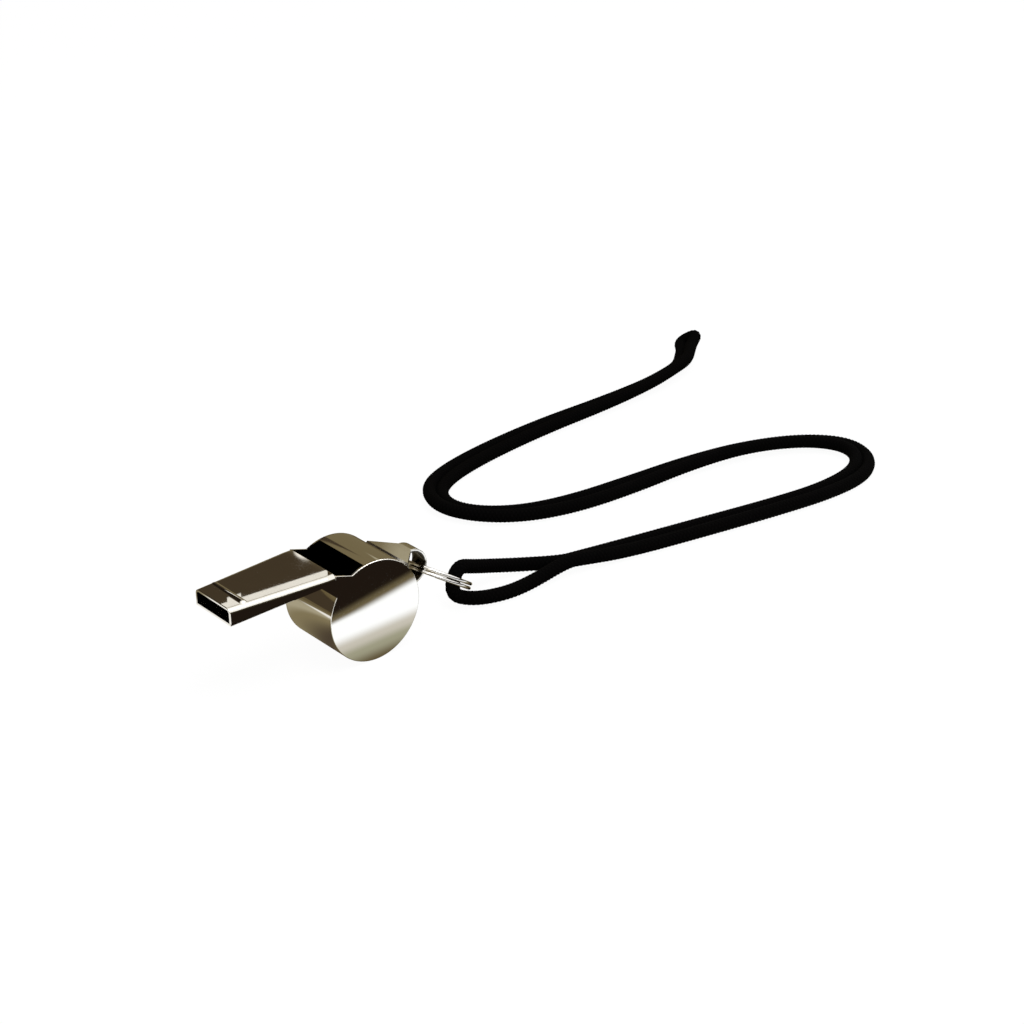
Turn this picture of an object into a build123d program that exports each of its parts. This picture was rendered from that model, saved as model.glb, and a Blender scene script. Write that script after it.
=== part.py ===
from build123d import *
import math
import os

# Sports whistle: a pressed-sheet pea whistle, a split ring and a doubled cord lanyard.
# Millimetres. The barrel's axis runs along Y, the mouthpiece points to -X, +Z is up.

# Driving dimensions: the shell
sheet = 0.4             # thickness of the plated sheet
barrel_d = 20.0         # barrel over the wrap
barrel_w = 14.4         # barrel over its side plates
solder_gap = 0.03       # fit between soldered pieces
edge_r = 0.12           # rounding of the sheet's outer edges
lip_deg = 101.0         # the lip, an edge of the wrap, from +X round the barrel's axis
mouth_reach = 29.7      # barrel's axis to the mouthpiece's tip
mouth_rise = 0.1        # level top of the mouthpiece over the barrel's top
tip_w = 11.0            # mouthpiece width at its tip
tip_h = 3.3             # mouthpiece height at its tip
throat_x = 11.4         # barrel's axis to the crease where the wrap turns forward
throat_h = 1.7          # mouthpiece height over that crease
throat_deg = 43.0       # slope of the wrap between the barrel and the crease
crease_r = 0.5          # inside bend radius at the crease
window_x = 8.3          # barrel's axis to the rear edge of the mouthpiece's top
notch_x = 4.75          # barrel's axis to the low end of a side plate's edge at the window
wing_drop = 0.2         # mouthpiece's top to the front end of that edge
seam_x = 17.0           # barrel's axis to the front edge of a side plate
roll_r = 1.0            # outer radius of the mouthpiece's rolled edges
ridge_x = 3.4           # tip to the middle of the bite ridge
ridge_w = 1.7           # bite ridge, front to back
ridge_h = 0.35          # bite ridge over the mouthpiece's top

# Driving dimensions: the pea
pea_d = 11.0            # cork ball
pea_gap = 0.06          # ball to the wrap it rolls on

# Driving dimensions: the lug and the split ring
lug_sheet = 0.6         # thickness of the lug's strap
lug_deg = 37.5          # front edge of the lug, from +X round the barrel's axis
lug_foot_deg = 28.0     # end of its soldered foot
lug_w = 12.4            # strap at its front edge
bow_w = 3.8             # strap round its bow
bow_r = 3.7             # bow, outside
bow_reach = 2.4         # barrel's back to the middle of the bow
bow_z = 2.5             # bow's middle over the barrel's axis
bow_end_deg = -75.0     # where the bow ends and its leg runs back to the barrel
ring_seat = 2.0         # bow's middle to the ring's wire
ring_seat_deg = -27.0   # direction of the ring's wire from the bow's middle
ring_d = 14.0           # split ring, outside
ring_wire = 0.65        # its wire
ring_gap = 0.2          # between its two turns
ring_deg = 34.0         # how far it leans down from level at rest
ring_roll_deg = 7.0     # how far it is turned about its own long line at rest

# Driving dimensions: the lanyard
cord_d = 2.8            # round braided cord
pair_gap = 0.06         # between the two strands lying side by side
cord_on_ring = 0.15     # cord to the ring's wire in the bight
bight_slack = 0.4       # how much wider than that the bight opens
fold_length = 8.6       # strands' ends to the corners of the far fold
fold_w = 4.4            # far fold between its cord centres
fold_lift = 2.5         # how far the right side of the fold stands off the floor

# Sizes worked out from those
barrel_r = barrel_d / 2
chamber_r = barrel_r - sheet
mouth_top_z = barrel_d + mouth_rise
plate_y = barrel_w / 2
plate_top_z = mouth_top_z - roll_r - solder_gap
cover = sheet + solder_gap
tip_x = -mouth_reach
ring_r = (ring_d - ring_wire) / 2
ring_pitch = ring_wire + ring_gap
axis = Vector(0, barrel_r)


def xz(x, z):
    """Point of a profile in the XZ plane."""
    return Vector(x, z)


def polar(radius, degrees):
    """Profile point at an angle from +X round the barrel's axis."""
    a = math.radians(degrees)
    return xz(radius * math.cos(a), barrel_r + radius * math.sin(a))


def slab(sketch, width):
    """Solid of a profile drawn in XZ, centred on Y."""
    return extrude(Plane.XZ * sketch, amount=width / 2, both=True)


def polygon(*points):
    """Face with straight sides through profile points."""
    return make_face(Polyline(*[(p.X, p.Y) for p in points], close=True))


def on_circle(point, direction, radius):
    """Where a line, followed from a point outside, first meets a circle round the barrel's axis."""
    to = point - axis
    along = to.dot(direction)
    root = math.sqrt(along ** 2 - to.dot(to) + radius ** 2)
    return point + direction * (-along - root)


def meet(p, d, q, e):
    """Crossing of two lines, each given by a point and a direction."""
    cross = d.X * e.Y - d.Y * e.X
    gap = q - p
    return p + d * ((gap.X * e.Y - gap.Y * e.X) / cross)


# Lines of the wrap's front: from the barrel up to the crease, then out to the tip.
crease = xz(-throat_x, mouth_top_z - throat_h)
tip_low = xz(tip_x, mouth_top_z - tip_h)
floor_dir = (tip_low - crease).normalized()
floor_up = Vector(-floor_dir.Y, floor_dir.X) * -1
slope_dir = Vector(math.cos(math.radians(throat_deg)), -math.sin(math.radians(throat_deg)))
slope_up = Vector(-slope_dir.Y, slope_dir.X)


def front_line(depth):
    """Points of the wrap's front at a depth inside its outer face: barrel end, crease and tip."""
    slope_point = crease + slope_up * depth
    floor_point = tip_low + floor_up * depth
    corner = meet(slope_point, slope_dir, floor_point, floor_dir)
    end = meet(floor_point, floor_dir, xz(tip_x, 0), Vector(0, 1))
    start = on_circle(corner, slope_dir, chamber_r)
    return start, corner, end


def window_cut(depth, margin):
    """Profile of the open sector between the lip and the wrap's front."""
    start, corner, _ = front_line(depth)
    far = 2 * barrel_d
    lip = polar(far, lip_deg + margin)
    return polygon(axis, start + slope_dir * sheet, corner, corner + Vector(-far, far), lip)


def mouth_half(x):
    """Half width of the mouthpiece, tapering from the side plates to the tip."""
    share = min((x - tip_x) / (mouth_reach - barrel_r), 1)
    return tip_w / 2 + (plate_y - tip_w / 2) * share


def along(shape, test):
    """Edges of a shape whose ends and middle all pass a test."""
    return [e for e in shape.edges() if all(test(e @ t) for t in (0, 0.5, 1))]


def near(a, b):
    """Whether two lengths are the same."""
    return abs(a - b) < 1e-4


def both_sides(half):
    """Plan, symmetric about the whistle's middle, from its points on the left."""
    return make_face(Polyline(*half, *[(x, -y) for x, y in reversed(half)], close=True))


# Barrel wrap: one strip from the lip over the top, back, bottom and front, then out as the
# mouthpiece's floor.
strip_out = front_line(0)
strip_in = front_line(sheet)
band = Pos(0, barrel_r) * (Circle(barrel_r) - Circle(chamber_r))
band -= window_cut(sheet, 0)
strip = polygon(strip_out[0], strip_out[1], strip_out[2], strip_in[2], strip_in[1], strip_in[0])
strip = fillet(strip.vertices().sort_by_distance((strip_in[1].X, strip_in[1].Y))[0], crease_r + sheet)
strip = fillet(strip.vertices().sort_by_distance((strip_out[1].X, strip_out[1].Y))[0], crease_r)
wrap = slab(band + strip, barrel_w)
step_x = -seam_x - solder_gap
step_y = mouth_half(step_x)
plan = both_sides([(tip_x, mouth_half(tip_x)), (step_x, step_y), (step_x, step_y - cover),
                   (-barrel_r, plate_y - cover), (barrel_r, plate_y - cover)])
barrel_wrap = wrap & extrude(plan, amount=2 * barrel_d)
floor_z = lambda x: meet(tip_low, floor_dir, xz(x, 0), Vector(0, 1)).Y
floor_sides = along(barrel_wrap, lambda p: p.X < step_x + solder_gap and near(abs(p.Y), mouth_half(p.X))
                    and near(p.Z, floor_z(p.X)))
barrel_wrap = fillet(floor_sides, edge_r)

# Side plates: a keyhole outline laid on the wrap's edges, the disc closing the barrel and a tongue,
# bent in with the mouthpiece's taper, under the mouthpiece's top.
outer = front_line(0)
inner = front_line(cover)
seam_low = meet(outer[1], floor_dir, xz(-seam_x, 0), Vector(0, 1))
notch = xz(-notch_x, barrel_r + math.sqrt(barrel_r ** 2 - notch_x ** 2))
keyhole = Pos(0, barrel_r) * Circle(barrel_r)
keyhole += polygon(axis, outer[0], outer[1], seam_low, xz(-seam_x, plate_top_z),
                   xz(-window_x + solder_gap, plate_top_z),
                   xz(-window_x + solder_gap, mouth_top_z - wing_drop), notch)
bent = [(-seam_x, mouth_half(-seam_x)), (-barrel_r, plate_y), (2 * barrel_r, plate_y)]
bent_sheet = make_face(Polyline(*bent, *[(x, y - sheet) for x, y in reversed(bent)], close=True))
plate = slab(keyhole, 2 * barrel_w) & extrude(bent_sheet, amount=2 * barrel_d)
on_rim = lambda p: near((xz(p.X, p.Z) - axis).length, barrel_r)
at_window = lambda p: p.X > -window_x and p.Z > plate_top_z + solder_gap
rim_edges = along(plate, lambda p: near(p.Y, plate_y) and (on_rim(p) or at_window(p)))
side_plate_left = fillet(rim_edges, edge_r)
side_plate_right = mirror(side_plate_left, about=Plane.XZ)


def channel(x, foot_z):
    """Inverted U of the mouthpiece's top and sides, across the whistle at x."""
    half = mouth_half(x)
    top = mouth_top_z
    turn = roll_r
    inside = roll_r - sheet
    low = half - sheet
    outer = [Line((-half, foot_z), (-half, top - turn)),
             RadiusArc((-half, top - turn), (-half + turn, top), turn),
             Line((-half + turn, top), (half - turn, top)),
             RadiusArc((half - turn, top), (half, top - turn), turn),
             Line((half, top - turn), (half, foot_z))]
    lining = [Line((half, foot_z), (low, foot_z)),
              Line((low, foot_z), (low, top - turn)),
              RadiusArc((low, top - turn), (half - turn, top - sheet), -inside),
              Line((half - turn, top - sheet), (-half + turn, top - sheet)),
              RadiusArc((-half + turn, top - sheet), (-low, top - turn), -inside),
              Line((-low, top - turn), (-low, foot_z)),
              Line((-low, foot_z), (-half, foot_z))]
    across = Plane(origin=(x, 0, 0), x_dir=(0, 1, 0), z_dir=(1, 0, 0))
    return across * make_face(outer + lining)


def foot_z(x):
    """Height of the mouthpiece's side walls' lower edge, on the wrap's floor."""
    return meet(inner[1], floor_dir, xz(x, 0), Vector(0, 1)).Y


# Mouthpiece top: a channel that widens from the tip to the window, its side walls butting
# against the side plates, with a bite ridge pressed up across it.
# From the crease on, where the side plates stand in for the walls, their foot stays level.
stations = sorted({tip_x, -window_x, *[x for x in (-throat_x, -barrel_r) if x < -window_x]})
top_shell = loft([channel(x, foot_z(min(x, -throat_x))) for x in stations], ruled=True)
wall_end = Pos(-seam_x + mouth_reach / 2 - solder_gap, 0, plate_top_z + solder_gap) * Box(
    mouth_reach, 2 * barrel_w, barrel_d, align=(Align.CENTER, Align.CENTER, Align.MAX))
ridge_mid = tip_x + ridge_x
ridge_rise = ridge_h + sheet / 2
ridge_r = (ridge_w ** 2 / 4 + ridge_rise ** 2) / (2 * ridge_rise)
ridge_half = mouth_half(ridge_mid) - roll_r - ridge_w / 4
bead = Rot(90, 0, 0) * Cylinder(ridge_r, 2 * ridge_half)
bead += Pos(0, ridge_half, 0) * Sphere(ridge_r) + Pos(0, -ridge_half, 0) * Sphere(ridge_r)
above = Pos(0, 0, ridge_r - ridge_rise) * Box(4 * ridge_r, 2 * barrel_w, 2 * barrel_d,
                                              align=(Align.CENTER, Align.CENTER, Align.MIN))
ridge = Pos(ridge_mid, 0, mouth_top_z + ridge_h - ridge_r) * (bead & above)
roll_z = mouth_top_z - roll_r
at_mouth_end = lambda p: (near(p.X, tip_x) or near(p.X, -window_x)) and p.Z > roll_z - solder_gap
off_roll = lambda p: math.hypot(max(abs(p.Y) - mouth_half(p.X) + roll_r, 0), p.Z - roll_z)
mouth_edges = along(top_shell, lambda p: at_mouth_end(p) and off_roll(p) > roll_r - sheet / 2)
mouthpiece_top = fillet(mouth_edges, edge_r) - wall_end + ridge

# Cork pea, lying at the bottom of the chamber.
pea_orbit = chamber_r - pea_gap - pea_d / 2
cork_pea = Pos(0, 0, barrel_r - pea_orbit) * Sphere(pea_d / 2)

# Ring lug: a strap soldered behind the barrel's top by a curved foot, narrowing into a bow whose
# leg comes back to the barrel.
bow = xz(barrel_r + bow_reach, barrel_r + bow_z)
lug_top_r = barrel_r + solder_gap + lug_sheet
front = polar(lug_top_r, lug_deg)
to_bow = bow - front
lean = math.atan2(to_bow.Y, to_bow.X) + math.asin(bow_r / to_bow.length)
strap_up = Vector(-math.sin(lean), math.cos(lean))
tangent = bow + strap_up * bow_r
bow_end = math.radians(bow_end_deg)
end_out = Vector(math.cos(bow_end), math.sin(bow_end))
leg_dir = Vector(math.sin(bow_end), -math.cos(bow_end))
leg_start = bow + end_out * bow_r
leg_end = leg_start + leg_dir * barrel_r
far = 2 * bow_r
foot_wedge = polygon(axis, polar(2 * barrel_d, lug_foot_deg), polar(2 * barrel_d, lug_deg))
foot = Pos(0, barrel_r) * (Circle(lug_top_r) - Circle(barrel_r + solder_gap)) & foot_wedge
strap = polygon(front, tangent, tangent - strap_up * lug_sheet, front - strap_up * lug_sheet)
round_bow = Pos(bow.X, bow.Y) * (Circle(bow_r) - Circle(bow_r - lug_sheet))
round_bow &= polygon(bow, bow + strap_up * far, bow + strap_up * far + xz(far, 0),
                     bow + end_out * far + xz(far, 0), bow + end_out * far)
leg = polygon(leg_start, leg_end, leg_end - end_out * lug_sheet, leg_start - end_out * lug_sheet)
lug_profile = foot + (strap + round_bow + leg - Pos(0, barrel_r) * Circle(barrel_r + solder_gap))
lug_plan = both_sides([(0, lug_w / 2), (front.X, lug_w / 2), (bow.X, bow_w / 2), (bow.X + far, bow_w / 2)])
ring_lug = slab(lug_profile, lug_w) & extrude(lug_plan, amount=2 * barrel_d)


def lug_half(x):
    """Half width of the lug, narrowing from its front edge to its bow."""
    return lug_w / 2 + (bow_w - lug_w) / 2 * min(max((x - front.X) / (bow.X - front.X), 0), 1)


lug_edges = along(ring_lug, lambda p: near(abs(p.Y), lug_half(p.X)) and (
    near((xz(p.X, p.Z) - bow).length, bow_r) or near((xz(p.X, p.Z) - front).dot(strap_up), 0)))
ring_lug = fillet(lug_edges, edge_r)


def tube(points, diameter, share=0.45):
    """Round tube along straight runs joined by arcs as large as the runs allow, with its facts."""
    spots = [Vector(*p) for p in points]
    runs = [b - a for a, b in zip(spots, spots[1:])]
    radii = []
    for a, b in zip(runs, runs[1:]):
        half_turn = math.radians(a.get_angle(b)) / 2
        radii.append(share * min(a.length, b.length) / math.tan(half_turn))
    path = FilletPolyline(*spots, radius=radii)
    start = Plane(origin=path @ 0, z_dir=path % 0)
    solid = sweep(start * Circle(diameter / 2), path=path)
    ideal = math.pi * diameter ** 2 / 4 * path.length
    return solid, path, radii, solid.volume / ideal


# Split ring: one wire of two turns, lying side by side but for the step from one to the other.
ring_lean = math.radians(ring_deg)
seat = math.radians(ring_seat_deg)
hinge = Vector(bow.X + ring_seat * math.cos(seat), 0, bow.Y + ring_seat * math.sin(seat))
ring_out = Vector(math.cos(ring_lean), 0, -math.sin(ring_lean))
ring_lift = Vector(math.sin(ring_lean), 0, math.cos(ring_lean))
ring_roll = math.radians(ring_roll_deg)
ring_up = ring_lift * math.cos(ring_roll) + Vector(0, math.sin(ring_roll), 0)
ring_side = Vector(0, math.cos(ring_roll), 0) - ring_lift * math.sin(ring_roll)
ring_mid = hinge + ring_out * ring_r
turn_step = 45
corner_r = ring_r / math.cos(math.radians(turn_step / 2))


def ring_point(degrees, level):
    """Corner of the ring's wire path: degrees round from its far side, level along its axis."""
    a = math.radians(degrees)
    return ring_mid + ring_side * corner_r * math.cos(a) + ring_out * corner_r * math.sin(a) + ring_up * level


first_turn = [ring_point(a, -ring_pitch / 2) for a in range(turn_step, 360, turn_step)]
second_turn = [ring_point(a, ring_pitch / 2) for a in range(360 + turn_step, 720, turn_step)]
ring_points = first_turn + [ring_point(360, 0)] + second_turn
split_ring, ring_path, ring_radii, ring_fill = tube([tuple(p) for p in ring_points], ring_wire, 0.49)

# Lanyard: one closed loop of cord, folded in two. It passes through the split ring as a bight,
# the two strands lie side by side along the pair's line, and its far end is a tight fold.
# Each point of the line: x, y, and how far the left strand is rolled up over the right one.
pair_line = [
    (52.0, -4.3, -22), (62.0, -6.4, -2), (80.0, -9.7, 0), (98.0, -13.1, -4), (112.0, -14.9, -4),
    (123.6, -13.9, 6), (130.8, -8.8, 13), (132.6, -1.4, 15), (126.6, 5.9, 22), (114.6, 11.4, 27),
    (100.0, 13.9, 18), (84.0, 14.7, 2), (69.0, 15.8, 0), (57.4, 19.0, 6), (49.6, 25.2, 13),
    (46.9, 32.8, 15), (50.4, 40.6, 12), (58.6, 45.2, 4), (72.0, 48.5, 0), (90.0, 50.4, -6),
    (108.0, 50.6, -16), (123.0, 51.6, -30), (133.0, 53.8, -40), (138.6, 55.8, -38), (143.5, 60.0, -35)]
strand_gap = cord_d + pair_gap
end_run = 1.2 * cord_d


def strand(side):
    """Points of one strand, half the pair's width to the left (+1) or right (-1) of its line."""
    spots = [Vector(x, y) for x, y, _ in pair_line]
    ways = [(b - a).normalized() for a, b in zip(spots, spots[1:])]
    points = []
    for i, (x, y, roll) in enumerate(pair_line):
        way = (ways[max(i - 1, 0)] + ways[min(i, len(ways) - 1)]).normalized()
        tilt = math.radians(roll)
        out = side * strand_gap / 2 * math.cos(tilt) / way.dot(ways[min(i, len(ways) - 1)])
        lift = strand_gap / 2 * (abs(math.sin(tilt)) + side * math.sin(tilt))
        points.append((x - way.Y * out, y + way.X * out, cord_d / 2 + lift))
    return points


left_points = strand(1)
right_points = strand(-1)
bight_out = ring_r * 2 - ring_wire / 2 - cord_on_ring - cord_d / 2
bight_lift = ring_pitch / 2 + ring_wire / 2 + cord_on_ring + cord_d / 2 + bight_slack


def in_ring(out, up, y):
    """Point given by its reach from the hinge along the ring's plane, its lift off that plane and y."""
    p = hinge + ring_out * out + ring_lift * up
    return p.X, y, p.Z


def carried(points):
    """First two points of a strand's far neighbour, so that two tubes meet face to face."""
    a, b = Vector(*points[0]), Vector(*points[1])
    return tuple(a), tuple(a + (a - b).normalized() * end_run)


left_start, left_before = carried(left_points)
right_start, right_before = carried(right_points)
# The eye opens from the neck to the ring: its upper side, the turn round the ring's wire, its lower side.
eye_upper = [(41.4, 2.2, 1.6), (35.6, 2.9, 3.1)]
eye_lower = [(25.8, -3.0, 1.5), (31.8, -5.2, 1.4), (38.4, -5.2, 1.4)]
past_ring = 4.1         # reach past the ring's wire of the point where the upper side starts
past_y = 2.0            # that point to the middle
over_y = 0.8            # the turn inside the ring, to the middle
eye_points = [
    left_start, left_before, *eye_upper, in_ring(2 * ring_r + past_ring, bight_lift, past_y),
    in_ring(bight_out, bight_lift, over_y), in_ring(bight_out, -bight_lift, -over_y),
    *eye_lower, right_before, right_start]
lanyard_eye, eye_path, eye_radii, eye_fill = tube(eye_points, cord_d)
lanyard_strand_left, left_path, left_radii, left_fill = tube(left_points, cord_d)
lanyard_strand_right, right_path, right_radii, right_fill = tube(right_points, cord_d)

left_end, left_after = carried(left_points[::-1])
right_end, right_after = carried(right_points[::-1])
fold_way = (Vector(*left_end) - Vector(*left_points[-2])).normalized()
fold_left = Vector(-fold_way.Y, fold_way.X, 0).normalized()
fold_mid = (Vector(*left_end) + Vector(*right_end)) * 0.5


def in_fold(along, side):
    """Point of the far fold: reach past the strands' ends and side of its middle line."""
    p = fold_mid + fold_way * along + fold_left * fold_w / 2 * side
    return p.X, p.Y, cord_d / 2 + fold_lift * (1 - side) / 2


fold_points = [left_end, left_after, in_fold(fold_length, 1), in_fold(fold_length, -1),
               right_after, right_end]
lanyard_fold, fold_path, fold_radii, fold_fill = tube(fold_points, cord_d)


def least_gap(path, other, diameter, apart):
    """Least clear gap between two tubes, or between a tube and itself, on points along them."""
    count = int(path.length / diameter * 4)
    mine = [path @ (i / count) for i in range(count + 1)]
    count_other = int(other.length / diameter * 4)
    theirs = [other @ (i / count_other) for i in range(count_other + 1)]
    gaps = [(a - b).length for i, a in enumerate(mine) for j, b in enumerate(theirs)
            if path is not other or abs(i - j) * diameter / 4 > apart]
    return min(gaps) - diameter


def foot_width(points):
    """Half turn of a tube, the length past which it counts as another stretch of itself."""
    return math.pi * points * 1.5


# The origin is the bottom middle of the whistle and its ring, without the lanyard.
whistle = {
    "barrel_wrap": barrel_wrap, "side_plate_left": side_plate_left, "side_plate_right": side_plate_right,
    "mouthpiece_top": mouthpiece_top, "cork_pea": cork_pea, "ring_lug": ring_lug, "split_ring": split_ring}
lanyard = {
    "lanyard_eye": lanyard_eye, "lanyard_strand_left": lanyard_strand_left,
    "lanyard_strand_right": lanyard_strand_right, "lanyard_fold": lanyard_fold}
low_x = min(shape.bounding_box().min.X for shape in whistle.values())
high_x = max(shape.bounding_box().max.X for shape in whistle.values())
home = Pos(-(low_x + high_x) / 2, 0, 0)

os.makedirs("parts", exist_ok=True)
for name, shape in {**whistle, **lanyard}.items():
    solid = home * shape
    export_step(solid.solid() if len(solid.solids()) == 1 else solid, f"parts/{name}.step")

shift = home.position.X
print("whistle x", round(low_x + shift, 3), round(high_x + shift, 3), "shift", round(shift, 4))
print("barrel axis", round(shift, 4), barrel_r, "ring hinge", round(hinge.X + shift, 4), round(hinge.Z, 4))
for name, radii, fill in (("eye", eye_radii, eye_fill), ("left", left_radii, left_fill),
                          ("right", right_radii, right_fill), ("fold", fold_radii, fold_fill)):
    print("cord", name, "radii", [round(r, 1) for r in radii], "volume ratio", round(fill, 4))
print("ring radii", [round(r, 2) for r in ring_radii], "volume ratio", round(ring_fill, 4))
print("ring self gap", round(least_gap(ring_path, ring_path, ring_wire, foot_width(ring_r)), 3))
print("pair gap", round(least_gap(left_path, right_path, cord_d, 0), 3))
print("cord length", round(eye_path.length + left_path.length + right_path.length + fold_path.length, 1))
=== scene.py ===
"""Looks of a plated pea whistle on a split ring and a doubled cord lanyard, dressed over its CAD frame.

Lengths are written in millimetres and scaled by MM; the scene itself is in metres, in the CAD's frame.
"""

import logging
import math
from dataclasses import dataclass, field
from enum import Enum

import bmesh
import bpy
from mathutils import Matrix, Quaternion, Vector

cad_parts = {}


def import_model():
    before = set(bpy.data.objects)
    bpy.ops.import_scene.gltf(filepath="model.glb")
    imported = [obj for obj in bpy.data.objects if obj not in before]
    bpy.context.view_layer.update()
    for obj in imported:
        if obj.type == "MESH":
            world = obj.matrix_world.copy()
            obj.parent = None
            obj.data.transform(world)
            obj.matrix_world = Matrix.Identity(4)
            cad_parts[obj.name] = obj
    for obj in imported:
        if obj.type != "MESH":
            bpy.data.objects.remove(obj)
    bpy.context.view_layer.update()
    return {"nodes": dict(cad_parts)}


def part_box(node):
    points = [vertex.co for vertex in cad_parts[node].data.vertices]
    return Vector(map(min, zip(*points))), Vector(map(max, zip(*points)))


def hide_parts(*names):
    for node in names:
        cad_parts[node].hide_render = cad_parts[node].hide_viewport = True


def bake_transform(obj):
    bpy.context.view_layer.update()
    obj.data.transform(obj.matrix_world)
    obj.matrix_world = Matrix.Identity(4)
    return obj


MM = 0.001
Colour = tuple[float, float, float]
Point = tuple[float, float, float]
Span = tuple[float, float]
Socket = bpy.types.NodeSocket
log = logging.getLogger("whistle")


class Slot(Enum):
    """Material slots of the record."""

    SHELL = "plated_shell"
    LUG = "lug_plating"
    RING = "ring_steel"
    CORK = "cork"
    CORD = "braided_cord"


class Body(Enum):
    """Bodies of the record that the cord bends between."""

    WHISTLE = "whistle"
    RING = "ring"


class Strand(Enum):
    """The two strands of the doubled lanyard, by the side of the pair's line they lie on."""

    LEFT = 1
    RIGHT = -1


class Paint(Enum):
    """Paints of the cards that the metal reflects."""

    INK = (0.015, 0.010, 0.007)
    SOOT = (0.02, 0.017, 0.012)
    UMBER = (0.058, 0.042, 0.025)
    SHADE = (0.08, 0.06, 0.04)
    PEAT = (0.10, 0.085, 0.05)
    BROWN = (0.13, 0.10, 0.05)
    MOSS = (0.16, 0.13, 0.07)
    OLIVE = (0.19, 0.155, 0.085)
    TAN = (0.25, 0.21, 0.12)
    SAND = (0.35, 0.30, 0.19)
    GREY = (0.40, 0.40, 0.30)
    PALE = (0.44, 0.40, 0.29)
    ASH = (0.67, 0.65, 0.60)
    CREAM = (0.92, 0.90, 0.86)
    IVORY = (1.0, 0.98, 0.94)
    WHITE = (1.0, 1.0, 1.0)
    FLARE = (1.1, 1.07, 1.02)
    GLARE = (1.2, 1.25, 1.35)


class NodeBoard:
    """Places and joins shader nodes in one tree."""

    def __init__(self, tree: bpy.types.NodeTree) -> None:
        """Takes the tree that the nodes go into."""
        self.tree = tree

    def add(self, kind: str, **settings: object) -> bpy.types.Node:
        """Adds one node.

        Args:
            kind: Blender's name of the node type.
            settings: properties of the node.

        Returns:
            The new node.
        """
        node = self.tree.nodes.new(kind)
        for key, value in settings.items():
            setattr(node, key, value)
        return node

    def join(self, source: Socket, target: Socket) -> None:
        """Links an output to an input."""
        self.tree.links.new(source, target)

    def math(self, operation: str, *values: Socket | float) -> Socket:
        """Adds a Math node.

        Args:
            operation: the node's operation.
            values: numbers, or sockets to link, for its inputs.

        Returns:
            The node's result.
        """
        node = self.add("ShaderNodeMath", operation=operation)
        for place, value in zip(node.inputs, values):
            if isinstance(value, Socket):
                self.join(value, place)
            else:
                place.default_value = value
        return node.outputs[0]

    def smooth_step(self, value: Socket, low: float, high: float) -> Socket:
        """Rises smoothly from 0 at low to 1 at high.

        Args:
            value: the number that changes over the surface.
            low: where the rise starts.
            high: where it ends.

        Returns:
            The mask.
        """
        step = self.add("ShaderNodeMapRange", interpolation_type="SMOOTHSTEP")
        step.inputs["From Min"].default_value = low
        step.inputs["From Max"].default_value = high
        self.join(value, step.inputs["Value"])
        return step.outputs["Result"]

    def patch(self, first: Socket, first_span: Span, second: Socket, second_span: Span) -> Socket:
        """Marks the soft-edged patch where two lengths are both past their spans.

        Args:
            first: one length in metres.
            first_span: where its mask rises from 0 to 1, in millimetres.
            second: the other length.
            second_span: where that one's mask rises.

        Returns:
            The mask.
        """
        return self.math("MULTIPLY", self.smooth_step(first, *(edge * MM for edge in first_span)),
                         self.smooth_step(second, *(edge * MM for edge in second_span)))

    def oval(self, x: Socket, z: Socket, centre: Span, reach: Span, lean: float,
             edge: Span = (1.3, 0.7)) -> Socket:
        """Marks a soft oval on a standing card.

        Args:
            x: place across the card.
            z: height on the card.
            centre: middle of the oval, in millimetres.
            reach: its two half widths, in millimetres.
            lean: angle of its first half width above level, in degrees.
            edge: where the mask rises from 0 to 1, in half widths.

        Returns:
            The mask.
        """
        across, up = math.cos(math.radians(lean)), math.sin(math.radians(lean))
        x = self.math("SUBTRACT", x, centre[0] * MM)
        z = self.math("SUBTRACT", z, centre[1] * MM)
        parts = []
        for (a, b), size in zip(((across, up), (-up, across)), reach):
            along = self.math("MULTIPLY_ADD", x, a, self.math("MULTIPLY", z, b))
            parts.append(self.math("POWER", self.math("DIVIDE", along, size * MM), 2.0))
        return self.smooth_step(self.math("SQRT", self.math("ADD", *parts)), *edge)

    def place(self) -> tuple[Socket, Socket, Socket]:
        """Gives x, y and z of the shaded point, in metres of the CAD's frame."""
        split = self.add("ShaderNodeSeparateXYZ")
        self.join(self.add("ShaderNodeTexCoord").outputs["Object"], split.inputs["Vector"])
        return split.outputs["X"], split.outputs["Y"], split.outputs["Z"]

    def blend(self, mask: Socket, base: Socket | Colour, top: Socket | Colour) -> Socket:
        """Lays one colour over another.

        Args:
            mask: where the upper colour shows.
            base: the lower colour, or a socket.
            top: the upper colour, or a socket.

        Returns:
            The blended colour.
        """
        mix = self.add("ShaderNodeMix", data_type="RGBA")
        self.join(mask, mix.inputs["Factor"])
        for name, colour in (("A", base), ("B", top)):
            if isinstance(colour, Socket):
                self.join(colour, mix.inputs[name])
            else:
                mix.inputs[name].default_value = (*colour, 1.0)
        return mix.outputs["Result"]

    def ramp(self, value: Socket, stops: tuple[tuple[float, Paint], ...]) -> Socket:
        """Paints along a length.

        Args:
            value: the length in metres.
            stops: places in millimetres and their paints, in order.

        Returns:
            The colour.
        """
        low, high = stops[0][0], stops[-1][0]
        span = self.add("ShaderNodeMapRange")
        span.inputs["From Min"].default_value = low * MM
        span.inputs["From Max"].default_value = high * MM
        self.join(value, span.inputs["Value"])
        ramp = self.add("ShaderNodeValToRGB")
        ramp.color_ramp.interpolation = "EASE"
        elements = ramp.color_ramp.elements
        elements[0].position, elements[1].position = 0.0, 1.0
        for where, _ in stops[1:-1]:
            elements.new((where - low) / (high - low))
        for element, (_, paint) in zip(elements, stops):
            element.color = (*paint.value, 1.0)
        self.join(span.outputs["Result"], ramp.inputs["Fac"])
        return ramp.outputs["Color"]

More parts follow.
